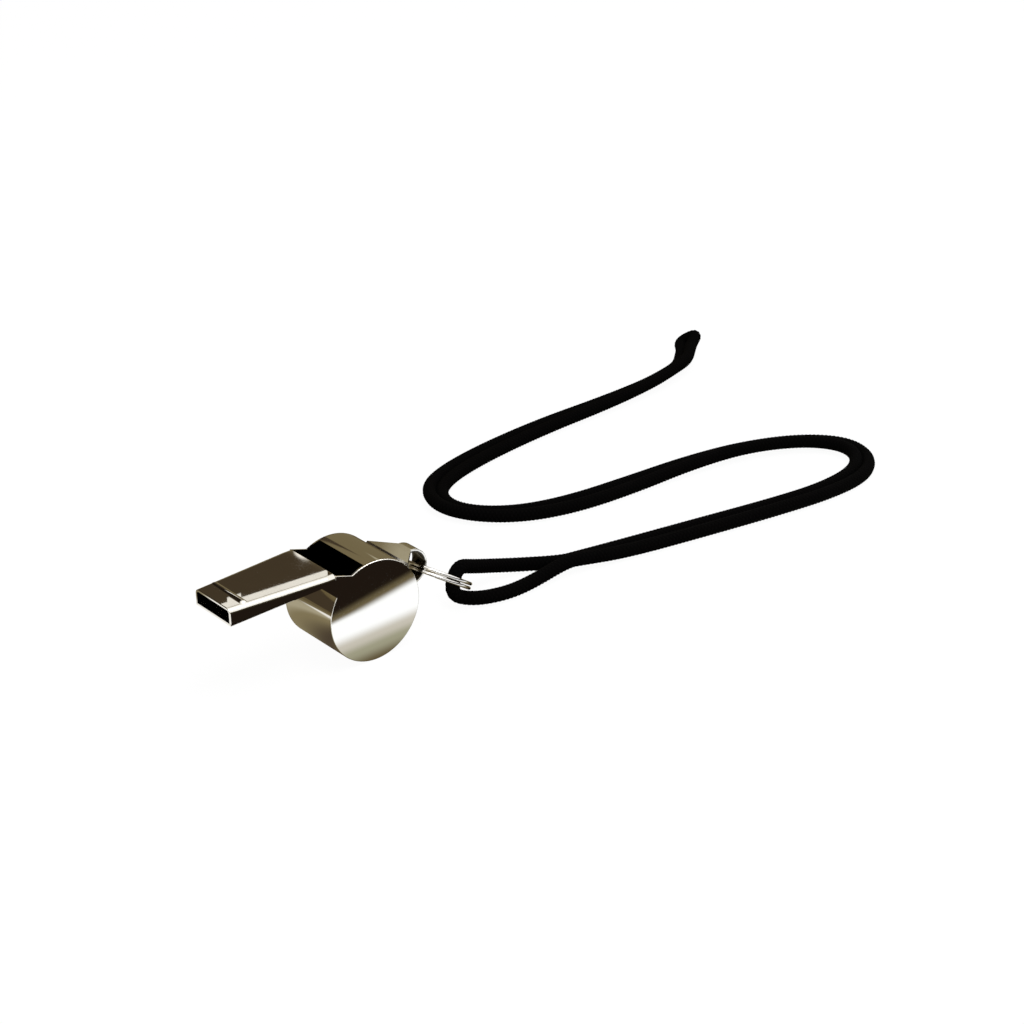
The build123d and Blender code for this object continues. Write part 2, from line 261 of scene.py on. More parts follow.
    def bump(self, height: Socket, strength: float, depth: float) -> Socket:
        """Raises a fine relief.

        Args:
            height: the relief, 0 to 1.
            strength: how much of it shows.
            depth: its full height in millimetres.

        Returns:
            The normal of the raised surface.
        """
        node = self.add("ShaderNodeBump")
        node.inputs["Strength"].default_value = strength
        node.inputs["Distance"].default_value = depth * MM
        self.join(height, node.inputs["Height"])
        return node.outputs["Normal"]

    def surface(self, shader: Socket) -> None:
        """Makes a shader the look of the material's surface."""
        self.join(shader, self.add("ShaderNodeOutputMaterial").inputs["Surface"])


def new_material(name: str) -> tuple[bpy.types.Material, NodeBoard]:
    """Makes an empty node material.

    Args:
        name: name of the material.

    Returns:
        The material and a board for its tree.
    """
    material = bpy.data.materials.new(name)
    material.use_nodes = True
    material.node_tree.nodes.clear()
    return material, NodeBoard(material.node_tree)


def mesh_object(name: str, shape: bmesh.types.BMesh, smooth: bool = True) -> bpy.types.Object:
    """Turns a bmesh into an object in the scene.

    Args:
        name: name of the object and its mesh.
        shape: the bmesh, which is freed.
        smooth: whether its faces are shaded smooth.

    Returns:
        The object, at the origin.
    """
    for face in shape.faces:
        face.smooth = smooth
    mesh = bpy.data.meshes.new(name)
    shape.to_mesh(mesh)
    shape.free()
    piece = bpy.data.objects.new(name, mesh)
    bpy.context.scene.collection.objects.link(piece)
    return piece


def surface_grain() -> bpy.types.NodeTree:
    """Gives the group of mottled polish and fine grain that every hard finish uses.

    Returns:
        The group: Mottle is a mask of soft clouds, Height a fine grain for a Bump node.
    """
    name = "surface_grain"
    if name in bpy.data.node_groups:
        return bpy.data.node_groups[name]
    group = bpy.data.node_groups.new(name, "ShaderNodeTree")
    for socket in ("Cloud Scale", "Grain Scale"):
        group.interface.new_socket(name=socket, in_out="INPUT", socket_type="NodeSocketFloat")
    for socket in ("Mottle", "Height"):
        group.interface.new_socket(name=socket, in_out="OUTPUT", socket_type="NodeSocketFloat")
    board = NodeBoard(group)
    inputs = board.add("NodeGroupInput")
    outputs = board.add("NodeGroupOutput")
    place = board.add("ShaderNodeTexCoord").outputs["Object"]
    for source, target, detail in (("Cloud Scale", "Mottle", 3.0), ("Grain Scale", "Height", 2.0)):
        noise = board.add("ShaderNodeTexNoise")
        noise.inputs["Detail"].default_value = detail
        board.join(place, noise.inputs["Vector"])
        board.join(inputs.outputs[source], noise.inputs["Scale"])
        board.join(noise.outputs["Fac"], outputs.inputs[target])
    return group


def grained(board: NodeBoard, cloud: float, grain: float) -> tuple[Socket, Socket]:
    """Adds the shared grain to a finish.

    Args:
        board: the finish's board.
        cloud: scale of the soft clouds.
        grain: scale of the fine grain.

    Returns:
        The mask of the clouds and the height of the grain.
    """
    node = board.add("ShaderNodeGroup", node_tree=surface_grain())
    node.inputs["Cloud Scale"].default_value = cloud
    node.inputs["Grain Scale"].default_value = grain
    return node.outputs["Mottle"], node.outputs["Height"]


@dataclass(frozen=True)
class ShadedHollow:
    """Round hollow across the whistle, whose inside is painted dark as shade; in metres."""

    axis_x: float
    axis_z: float
    radius: float
    half_w: float
    # Painted shade: the dark colour laid over the walls inside the hollow.
    colour: Colour = (0.016, 0.012, 0.010)

    def mask(self, board: NodeBoard) -> Socket:
        """Gives 1 inside the hollow."""
        x, y, z = board.place()
        across = board.math("POWER", board.math("SUBTRACT", x, self.axis_x), 2.0)
        up = board.math("POWER", board.math("SUBTRACT", z, self.axis_z), 2.0)
        reach = board.math("SQRT", board.math("ADD", across, up))
        return board.math("MULTIPLY", board.math("LESS_THAN", reach, self.radius),
                          board.math("LESS_THAN", board.math("ABSOLUTE", y), self.half_w))


@dataclass(frozen=True)
class Plating:
    """Polished plating on pressed sheet or wire."""

    name: str
    colour: Colour
    polish: float
    haze: float
    cloud: float = 420.0
    grain: float = 9000.0
    relief: float = 0.05
    depth: float = 0.02
    mottle: Span = (0.35, 0.68)
    hollow_shade: ShadedHollow | None = None

    def material(self) -> bpy.types.Material:
        """Builds the metal with its mottled roughness, fine grain and painted shade inside its hollow."""
        material, board = new_material(self.name)
        metal = board.add("ShaderNodeBsdfPrincipled")
        metal.inputs["Base Color"].default_value = (*self.colour, 1.0)
        metal.inputs["Metallic"].default_value = 1.0
        clouds, height = grained(board, self.cloud, self.grain)
        rough = board.add("ShaderNodeMapRange")
        rough.inputs["From Min"].default_value = self.mottle[0]
        rough.inputs["From Max"].default_value = self.mottle[1]
        rough.inputs["To Min"].default_value = self.polish
        rough.inputs["To Max"].default_value = self.polish + self.haze
        board.join(clouds, rough.inputs["Value"])
        board.join(rough.outputs["Result"], metal.inputs["Roughness"])
        board.join(board.bump(height, self.relief, self.depth), metal.inputs["Normal"])
        # Painted shade: the base colour turns dark inside the hollow.
        if self.hollow_shade:
            colour = board.blend(self.hollow_shade.mask(board), self.colour, self.hollow_shade.colour)
            board.join(colour, metal.inputs["Base Color"])
        board.surface(metal.outputs["BSDF"])
        return material


@dataclass(frozen=True)
class Cork:
    """Ground and pressed cork."""

    name: str
    light: Colour
    dark: Colour
    roughness: float = 0.85
    cloud: float = 900.0
    grain: float = 3200.0
    speckle: Span = (0.38, 0.56)
    relief: float = 0.5
    depth: float = 0.1

    def material(self) -> bpy.types.Material:
        """Builds the speckled cork."""
        material, board = new_material(self.name)
        skin = board.add("ShaderNodeBsdfPrincipled")
        skin.inputs["Roughness"].default_value = self.roughness
        clouds, height = grained(board, self.cloud, self.grain)
        colour = board.blend(board.smooth_step(clouds, *self.speckle), self.dark, self.light)
        board.join(colour, skin.inputs["Base Color"])
        board.join(board.bump(height, self.relief, self.depth), skin.inputs["Normal"])
        board.surface(skin.outputs["BSDF"])
        return material


@dataclass(frozen=True)
class Braid:
    """Tight braid of dull black yarn; its crowns are counted round and along the whole cord."""

    name: str
    yarn: Colour
    # Painted highlight: the crowns' colour, a shade lighter than the yarn.
    crown_highlight: Colour
    around: int = 6
    along: int = 780
    roughness: float = 0.9
    gloss: float = 0.03
    relief: float = 0.6
    depth: float = 0.1

    def height(self, along: float, around: float) -> float:
        """Gives the height of the crowns, 0 to 1, from places 0 to 1 along and round the cord."""
        forward = math.sin(math.pi * (self.along * along + self.around * around))
        backward = math.sin(math.pi * (self.along * along - self.around * around))
        return abs(forward * backward)

    def material(self) -> bpy.types.Material:
        """Builds the yarn, whose crowns follow the cord's own UV map and carry a painted highlight."""
        material, board = new_material(self.name)
        skin = board.add("ShaderNodeBsdfPrincipled")
        skin.inputs["Roughness"].default_value = self.roughness
        skin.inputs["Specular IOR Level"].default_value = self.gloss
        place = board.add("ShaderNodeSeparateXYZ")
        board.join(board.add("ShaderNodeUVMap", uv_map="braid").outputs["UV"], place.inputs["Vector"])
        along = board.math("MULTIPLY", place.outputs["X"], math.pi * self.along)
        around = board.math("MULTIPLY", place.outputs["Y"], math.pi * self.around)
        forward = board.math("SINE", board.math("ADD", along, around))
        backward = board.math("SINE", board.math("SUBTRACT", along, around))
        crowns = board.math("ABSOLUTE", board.math("MULTIPLY", forward, backward))
        # Painted highlight: the crowns are laid lighter than the yarn in the grooves between them.
        board.join(board.blend(crowns, self.yarn, self.crown_highlight), skin.inputs["Base Color"])
        board.join(board.bump(crowns, self.relief, self.depth), skin.inputs["Normal"])
        board.surface(skin.outputs["BSDF"])
        return material


@dataclass
class Whistle:
    """Shell, lug, split ring and pea, whose meshes come from the CAD frame."""

    nodes: dict[str, bpy.types.Object]
    chamber_share: float = 0.985    # chamber's radius by the barrel's
    chamber_slack: float = 0.1      # reach of the chamber's painted shade past the barrel's sides
    bow_reach: float = 12.4         # barrel's axis to the middle of the lug's bow
    bow_z: float = 12.5             # height of that middle
    bow_r: float = 3.35             # radius of its painted shade inside, which ends within the strap
    bow_half_w: float = 7.0         # reach of that inside to either side
    axis_x: float = field(init=False)
    barrel_r: float = field(init=False)
    side_y: float = field(init=False)

    def __post_init__(self) -> None:
        """Reads the barrel's axis, radius and side from the frame, in metres."""
        low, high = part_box("barrel_wrap")
        self.barrel_r = (high[2] - low[2]) / 2
        self.axis_x = high[0] - self.barrel_r
        self.side_y = high[1]

    def chamber(self) -> ShadedHollow:
        """Gives the painted shade inside the barrel."""
        return ShadedHollow(self.axis_x, self.barrel_r, self.chamber_share * self.barrel_r,
                      self.side_y + self.chamber_slack * MM)

    def bow(self) -> ShadedHollow:
        """Gives the painted shade inside the lug's bow."""
        # Painted shade inside the bow, a little less dark than inside the barrel.
        return ShadedHollow(self.axis_x + self.bow_reach * MM, self.bow_z * MM, self.bow_r * MM,
                      self.bow_half_w * MM, colour=(0.05, 0.043, 0.034))

    def finish(self, look: Plating | Cork, slot: Slot, *names: str) -> None:
        """Gives pieces of the frame one finish.

        Args:
            look: the finish.
            slot: the record's material slot; not used.
            names: the pieces' nodes.
        """
        material = look.material()
        for name in names:
            piece = self.nodes[name]
            piece.data.materials.clear()
            piece.data.materials.append(material)
            log.info("%s: %s", name, look.name)

    def dress(self) -> None:
        """Gives every piece its finish."""
        # The plating is painted dark inside the barrel's chamber and inside the lug's bow, as shade.
        nickel = Plating("nickel_plating", colour=(0.84, 0.81, 0.74), polish=0.03, haze=0.025,
                         relief=0.012, hollow_shade=self.chamber())
        satin = Plating("satin_plating", colour=(0.80, 0.77, 0.69), polish=0.12, haze=0.05, hollow_shade=self.bow())
        steel = Plating("bright_wire", colour=(0.82, 0.80, 0.77), polish=0.07, haze=0.05, relief=0.01)
        cork = Cork("pressed_cork", light=(0.16, 0.09, 0.045), dark=(0.05, 0.026, 0.012))
        self.finish(nickel, Slot.SHELL, "barrel_wrap", "side_plate_left", "side_plate_right",
                    "mouthpiece_top")
        self.finish(satin, Slot.LUG, "ring_lug")
        self.finish(steel, Slot.RING, "split_ring")
        self.finish(cork, Slot.CORK, "cork_pea")


@dataclass
class Lanyard:
    """One closed loop of cord: a bight in the ring, two strands side by side and a far fold.

    Places are from the barrel's axis and the floor. Each point of the pair's line holds x, y and the
    degrees by which the left strand is rolled up over the right one.
    """

    finish: Braid
    axis_x: float
    cord_d: float = 2.8
    pair_gap: float = -0.1          # the soft strands press into each other
    cord_on_ring: float = 0.15      # cord to the ring's wire in the bight
    bight_slack: float = 0.4        # how much wider than that the bight opens
    hinge: Span = (14.182, 11.592)  # x and z of the ring's wire in the lug
    ring_d: float = 14.0
    ring_wire: float = 0.65
    ring_gap: float = 0.2           # between the ring's two turns
    ring_deg: float = 34.0          # how far the ring leans down from level
    past_ring: float = 4.1          # reach past the ring's wire of the point where the upper side starts
    past_y: float = 2.0             # that point to the middle
    past_rise: float = 1.1          # how far it is raised
    over_y: float = 0.8             # the turn inside the ring, to the middle
    end_run: float = 1.2            # straight run at a strand's ends, in cord widths
    fold_length: float = 8.6        # strands' ends to the corners of the far fold
    fold_w: float = 4.4             # far fold between its cord centres
    fold_lift: float = 2.5          # how far the right side of the fold stands off the floor
    relief: float = 0.12            # height of the braid's crowns
    rings_per_crown: int = 4
    sides: int = 24
    curve_steps: int = 24           # steps of the smooth curve between two points
    weld: float = 0.001             # distance below which the rolled grid's edges join
    bend_from: Point = (53.7, 22.6, 1.4)    # where the cord starts to follow the ring
    bend_run: Point = (-22.6, -22.6, 0.0)   # from there to where it follows the ring wholly
    pair_line: tuple[Point, ...] = (
        (52.0, -4.3, -22), (62.0, -6.4, -2), (80.0, -9.7, 0), (98.0, -13.1, -4), (112.0, -14.9, -4),
        (123.6, -13.9, 6), (130.8, -8.8, 13), (132.6, -1.4, 15), (126.6, 5.9, 22), (114.6, 11.4, 27),
        (100.0, 13.9, 18), (84.0, 14.7, 2), (69.0, 15.8, 0), (57.4, 19.0, 6), (49.6, 25.2, 13),
        (46.9, 32.8, 15), (50.4, 40.6, 12), (58.6, 45.2, 4), (72.0, 48.5, 0), (90.0, 50.4, -6),
        (108.0, 50.6, -16), (123.0, 51.6, -30), (133.0, 53.8, -40), (138.6, 55.8, -38),
        (143.5, 60.0, -35))
    eye_upper: tuple[Point, ...] = ((41.4, 2.2, 1.6), (35.6, 2.9, 3.1))
    eye_lower: tuple[Point, ...] = ((25.8, -3.0, 1.5), (31.8, -5.2, 1.4), (38.4, -5.2, 1.4))
    piece: bpy.types.Object = field(init=False)

    def strand(self, side: Strand) -> list[Vector]:
        """Lays one strand beside the pair's line.

        Args:
            side: which of the two strands.

        Returns:
            Its route points, from the bight to the far fold.
        """
        spots = [Vector((x, y)) for x, y, _ in self.pair_line]
        ways = [(b - a).normalized() for a, b in zip(spots, spots[1:])]
        half = (self.cord_d + self.pair_gap) / 2
        points = []
        for i, (x, y, roll) in enumerate(self.pair_line):
            way = (ways[max(i - 1, 0)] + ways[min(i, len(ways) - 1)]).normalized()
            tilt = math.radians(roll)
            out = side.value * half * math.cos(tilt) / way.dot(ways[min(i, len(ways) - 1)])
            lift = half * (abs(math.sin(tilt)) + side.value * math.sin(tilt))
            points.append(Vector((x - way.y * out, y + way.x * out, self.cord_d / 2 + lift)))
        return points

    def carried(self, points: list[Vector]) -> Vector:
        """Gives the point a short run before the first one, on its line."""
        return points[0] + (points[0] - points[1]).normalized() * self.end_run * self.cord_d

    def in_ring(self, out: float, up: float, y: float) -> Vector:
        """Gives the point at a reach from the hinge along the ring's plane, a lift off it and y."""
        lean = math.radians(self.ring_deg)
        x = self.hinge[0] + out * math.cos(lean) + up * math.sin(lean)
        return Vector((x, y, self.hinge[1] - out * math.sin(lean) + up * math.cos(lean)))

    def fold(self, left: list[Vector], right: list[Vector]) -> list[Vector]:
        """Turns the cord back at the far end.

        Args:
            left: route of the left strand.
            right: route of the right strand.

        Returns:
            The points between the two strands' ends.
        """
        way = (left[-1] - left[-2]).normalized()
        side = Vector((-way.y, way.x, 0)).normalized()
        middle = (left[-1] + right[-1]) / 2
        points = []
        for hand in (1, -1):
            point = middle + way * self.fold_length + side * self.fold_w / 2 * hand
            point.z = self.cord_d / 2 + self.fold_lift * (1 - hand) / 2
            points.append(point)
        return [self.carried(left[::-1]), *points, self.carried(right[::-1])]

    def route(self) -> list[Vector]:
        """Gives the whole loop's route points, from the middle of the bight round to it again."""
        left, right = self.strand(Strand.LEFT), self.strand(Strand.RIGHT)
        ring_r = (self.ring_d - self.ring_wire) / 2
        clear = self.ring_wire / 2 + self.cord_on_ring + self.cord_d / 2
        out = 2 * ring_r - clear
        lift = (self.ring_wire + self.ring_gap) / 2 + clear + self.bight_slack
        over, under = self.in_ring(out, lift, self.over_y), self.in_ring(out, -lift, -self.over_y)
        middle = (over + under) / 2
        above = self.in_ring(2 * ring_r + self.past_ring, lift, self.past_y)
        above.z += self.past_rise
        leaving = [over, above, *(Vector(p) for p in reversed(self.eye_upper))]
        coming = [*(Vector(p) for p in reversed(self.eye_lower)), under]
        return [middle, *leaving, self.carried(left), *left, *self.fold(left, right),
                *right[::-1], self.carried(right), *coming, middle.copy()]

    def centreline(self) -> list[Vector]:
        """Reads the smooth curve through the route, as equally spaced points in metres."""
        curve = bpy.data.curves.new("lanyard_line", "CURVE")
        curve.dimensions = "3D"
        spline = curve.splines.new("NURBS")
        points = [Vector((p.x + self.axis_x / MM, p.y, p.z)) * MM for p in self.route()]
        spline.points.add(len(points) - 1)
        for place, point in zip(spline.points, points):
            place.co = (*point, 1.0)
        spline.order_u = 3
        spline.use_endpoint_u = True
        spline.resolution_u = self.curve_steps
        holder = bpy.data.objects.new("lanyard_line", curve)
        mesh = bpy.data.meshes.new_from_object(holder)
        line = [v.co.copy() for v in mesh.vertices]
        bpy.data.objects.remove(holder)
        bpy.data.meshes.remove(mesh)
        return self.spaced(line, self.finish.along * self.rings_per_crown)

    @staticmethod
    def spaced(line: list[Vector], count: int) -> list[Vector]:
        """Spaces points evenly along a line.

        Args:
            line: points of the line.
            count: how many steps it is cut into.

        Returns:
            One more point than there are steps.
        """
        steps = [(b - a).length for a, b in zip(line, line[1:])]
        step = sum(steps) / count
        spaced, done, i = [line[0]], 0.0, 0
        for k in range(1, count):
            while done + steps[i] < k * step:
                done += steps[i]
                i += 1
            spaced.append(line[i].lerp(line[i + 1], (k * step - done) / steps[i]))
        return [*spaced, line[-1]]

    @staticmethod
    def frames(line: list[Vector]) -> list[tuple[Vector, Vector]]:
        """Carries two directions along a closed line without twist, then spreads what is left over.

        Args:
            line: evenly spaced points, of which the last is the first again.

        Returns:
            The two directions across the line at each point.
        """
        last = len(line) - 1
        ways = [(line[(i + 1) % last] - line[(i - 1) % last]).normalized() for i in range(last)]
        ways.append(ways[0])
        across = [ways[0].orthogonal().normalized()]
        for a, b in zip(ways, ways[1:]):
            carried = a.rotation_difference(b) @ across[-1]
            across.append((carried - b * carried.dot(b)).normalized())
        turn = math.atan2(across[-1].cross(across[0]).dot(ways[0]), across[-1].dot(across[0]))
        turned = [Quaternion(w, turn * i / last) @ a for i, (w, a) in enumerate(zip(ways, across))]
        return [(a, w.cross(a)) for w, a in zip(ways, turned)]

    def build(self) -> None:
        """Rolls a grid into the braided tube along the loop, bending where it hangs on the ring."""
        line = self.centreline()
        frames = self.frames(line)
        steps = len(line) - 1
        shape = bmesh.new()
        shape.loops.layers.uv.new("braid")
        bmesh.ops.create_grid(shape, x_segments=steps, y_segments=self.sides, size=0.5, calc_uvs=True)
        radius = (self.cord_d / 2 - self.relief / 2) * MM
        for vertex in shape.verts:
            along, around = vertex.co.x + 0.5, vertex.co.y + 0.5
            i = round(along * steps)
            across, over = frames[i]
            turn = around * math.tau
            reach = radius + self.relief * MM * self.finish.height(along, around)
            vertex.co = line[i] + (across * math.cos(turn) + over * math.sin(turn)) * reach
        bmesh.ops.remove_doubles(shape, verts=shape.verts, dist=self.weld * MM)
        bmesh.ops.recalc_face_normals(shape, faces=shape.faces)
        self.piece = mesh_object("lanyard_cord", shape)
        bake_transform(self.piece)
        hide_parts("lanyard_eye", "lanyard_strand_left", "lanyard_strand_right",
                    "lanyard_fold")

    def dress(self) -> None:
        """Gives the cord its braid."""
        self.piece.data.materials.append(self.finish.material())


@dataclass
class Cards:
    """Painted cards round the whistle, which show in the metal's reflections alone.

    Places are from the barrel's axis and the floor. A pair of places is where a mask rises from 0 to 1.
    """

    axis_x: float
    room_r: float = 900.0
    round_steps: int = 96
    wall_h: float = 280.0
    panel_h: float = 1100.0
    panel_share: float = 0.97       # panel's radius by the room's
    panel_mid: float = 0.3          # where its middle paint lies, by its height
    panel_from: float = 40.0        # its first edge, degrees from +X
    panel_turn: float = 110.0       # degrees that it runs round
    panel_steps: int = 32
    near_x: Span = (-90.0, 170.0)   # ends of the near card
    near_y: float = 70.0
    near_h: float = 150.0
    deep_lean: float = -1.25        # run of the deep patch's leaning edge by its rise
    deep_edge: Span = (-37.0, -42.0)
    deep_z: Span = (71.0, 68.5)
    gloom_x: Span = (10.0, 2.0)
    gloom_z: Span = (68.0, 72.0)
    pale_x: Span = (62.0, 66.0)
    pale_z: Span = (49.0, 52.0)
    bright_z: Span = (86.0, 118.0)
    flare_at: Span = (35.9, 60.1)
    flare_reach: Span = (2.4, 1.0)
    flare_lean: float = 39.0
    strips: tuple[tuple[Span, float, float], ...] = (   # ends, height of the middle and width
        ((-22.5, 3.0), 30.3, 1.35), ((-19.4, -16.4), 28.9, 1.1))
    strip_y: float = 12.0
    strip_slope: float = 0.0475
    cloth_drop: float = 0.03        # cloth below the whistle's lowest point
    slant: float = 0.2              # how far the cloth's bands turn across the whistle
    slide: float = 0.17             # how far the white band turns back
    slide_x: float = 13.0           # where that turn starts
    slide_front: Span = (-26.0, -20.0)
    slide_back: Span = (-3.0, -8.0)
    corner_x: Span = (-19.0, -23.0)
    corner_y: Span = (-8.0, -11.0)
    side_x: Span = (-34.0, -40.0)
    side_y: Span = (36.0, 32.0)
    cloth_bands: tuple[tuple[float, Paint], ...] = (
        (-26.5, Paint.INK), (-24.0, Paint.MOSS), (-21.5, Paint.GLARE), (-16.5, Paint.GLARE),
        (-12.5, Paint.ASH), (-9.3, Paint.GREY), (-5.0, Paint.BROWN), (-0.7, Paint.SHADE),
        (11.0, Paint.TAN), (17.0, Paint.PALE), (22.0, Paint.PALE), (30.0, Paint.OLIVE), (40.0, Paint.BROWN))

    def build(self) -> None:
        """Sets every card in its place."""
        self.low_wall()
        self.tall_panel()
        self.near_card()
        self.edge_strip()
        self.cloth()

    @staticmethod
    def show(piece: bpy.types.Object, material: bpy.types.Material, board: NodeBoard,
             colour: Socket | Colour) -> None:
        """Makes a card glow in the metal's reflections alone.

        Args:
            piece: the card.
            material: its paint.
            board: the paint's board.
            colour: the paint's colour.
        """
        glow = board.add("ShaderNodeEmission")
        if isinstance(colour, Socket):
            board.join(colour, glow.inputs["Color"])
        else:
            glow.inputs["Color"].default_value = (*colour, 1.0)
        board.surface(glow.outputs["Emission"])
        piece.data.materials.append(material)
        piece.visible_camera = False
        piece.visible_diffuse = False
        piece.visible_transmission = False
        piece.visible_volume_scatter = False
        piece.visible_shadow = False

    def stand(self, shape: bmesh.types.BMesh, ends: Span, height: float, y: float, z: float,
              slope: float = 0.0) -> None:
        """Adds one upright card to a mesh.

        Args:
            shape: the mesh.
            ends: the card's ends along x.
            height: its height.
            y: how far behind the barrel's middle it stands.
            z: height of its middle.
            slope: rise of its long sides by their run.
        """
        low, high = ends
        made = bmesh.ops.create_grid(shape, x_segments=1, y_segments=1, size=0.5)["verts"]
        bmesh.ops.scale(shape, verts=made, vec=((high - low) * MM, height * MM, 1.0))
        turn = Matrix.Rotation(-math.atan(slope), 3, "Y") @ Matrix.Rotation(math.pi / 2, 3, "X")
        bmesh.ops.rotate(shape, verts=made, cent=(0, 0, 0), matrix=turn)
        middle = Vector(((low + high) / 2, y, z)) * MM
        bmesh.ops.translate(shape, verts=made, vec=middle + Vector((self.axis_x, 0.0, 0.0)))

    def low_wall(self) -> None:
        """Puts a dark wall round the room's foot."""
        shape = bmesh.new()
        bmesh.ops.create_cone(shape, segments=self.round_steps, cap_ends=False, radius1=self.room_r * MM,
                              radius2=self.room_r * MM, depth=self.wall_h * MM,
                              matrix=Matrix.Translation((0, 0, self.wall_h / 2 * MM)))
        material, board = new_material("low_wall")
        colour = board.ramp(board.place()[2], ((0.0, Paint.PEAT), (self.wall_h, Paint.SOOT)))
        self.show(mesh_object("low_wall", shape), material, board, colour)

    def tall_panel(self) -> None:
        """Bends an olive panel round the back of the room."""
        shape = bmesh.new()
        reach = self.panel_share * self.room_r * MM
        edge = shape.verts.new((reach, 0, 0)), shape.verts.new((reach, 0, self.panel_h * MM))
        line = shape.edges.new(edge)
        bmesh.ops.rotate(shape, verts=shape.verts, cent=(0, 0, 0),
                         matrix=Matrix.Rotation(math.radians(self.panel_from), 3, "Z"))
        bmesh.ops.spin(shape, geom=[*edge, line], cent=(0, 0, 0), axis=(0, 0, 1),
                       angle=math.radians(self.panel_turn), steps=self.panel_steps)
        material, board = new_material("tall_panel")
        colour = board.ramp(board.place()[2], (
            (0.0, Paint.BROWN), (self.panel_mid * self.panel_h, Paint.MOSS), (self.panel_h, Paint.SAND)))
        self.show(mesh_object("tall_panel", shape), material, board, colour)

    def near_card(self) -> None:
        """Stands a mottled olive card close behind the whistle, whose dark, pale and bright patches and flare
        are painted reflections on the metal.
        """
        shape = bmesh.new()
        self.stand(shape, self.near_x, self.near_h, self.near_y, self.near_h / 2)
        material, board = new_material("near_card")
        x, _, z = board.place()
        x = board.math("SUBTRACT", x, self.axis_x)
        leaning = board.math("MULTIPLY_ADD", z, self.deep_lean, x)
        deep = board.patch(leaning, self.deep_edge, z, self.deep_z)
        gloom = board.patch(x, self.gloom_x, z, self.gloom_z)
        pale = board.patch(x, self.pale_x, z, self.pale_z)
        bright = board.smooth_step(z, *(edge * MM for edge in self.bright_z))
        # Painted highlight: a white flare that the mouthpiece's top reflects.
        flare = board.oval(x, z, self.flare_at, self.flare_reach, self.flare_lean)
        colour = board.blend(deep, Paint.OLIVE.value, Paint.UMBER.value)
        for mask, paint in ((gloom, Paint.INK), (pale, Paint.PALE), (bright, Paint.IVORY),
                            (flare, Paint.FLARE)):
            colour = board.blend(mask, colour, paint.value)
        self.show(mesh_object("near_card", shape, smooth=False), material, board, colour)

    def edge_strip(self) -> None:
        """Hangs a thin white strip close behind the mouthpiece, wider at the tip, to light its edge."""
        shape = bmesh.new()
        for ends, middle, width in self.strips:
            self.stand(shape, ends, width, self.strip_y, middle, self.strip_slope)
        material, board = new_material("edge_strip")
        self.show(mesh_object("edge_strip", shape, smooth=False), material, board, Paint.CREAM.value)

    def cloth(self) -> None:
        """Lays a cloth under the whistle: dark in front, then a slanting white band, then olive."""
        shape = bmesh.new()
        bmesh.ops.create_circle(shape, cap_ends=True, segments=self.round_steps, radius=self.room_r * MM)
        bmesh.ops.translate(shape, verts=shape.verts, vec=(0, 0, -self.cloth_drop * MM))
        material, board = new_material("cloth")
        x, y, _ = board.place()
        x = board.math("SUBTRACT", x, self.axis_x)
        back = board.math("MULTIPLY_ADD", x, -self.slide, self.slide_x * self.slide * MM)
        turned = board.math("MULTIPLY", board.patch(y, self.slide_front, y, self.slide_back), back)
        slanted = board.math("MULTIPLY_ADD", x, self.slant, y)
        colour = board.ramp(board.math("ADD", slanted, turned), self.cloth_bands)
        corner = board.patch(x, self.corner_x, y, self.corner_y)
        side = board.patch(x, self.side_x, y, self.side_y)
        colour = board.blend(board.math("MAXIMUM", corner, side), colour, Paint.WHITE.value)
        self.show(mesh_object("cloth", shape, smooth=False), material, board, colour)


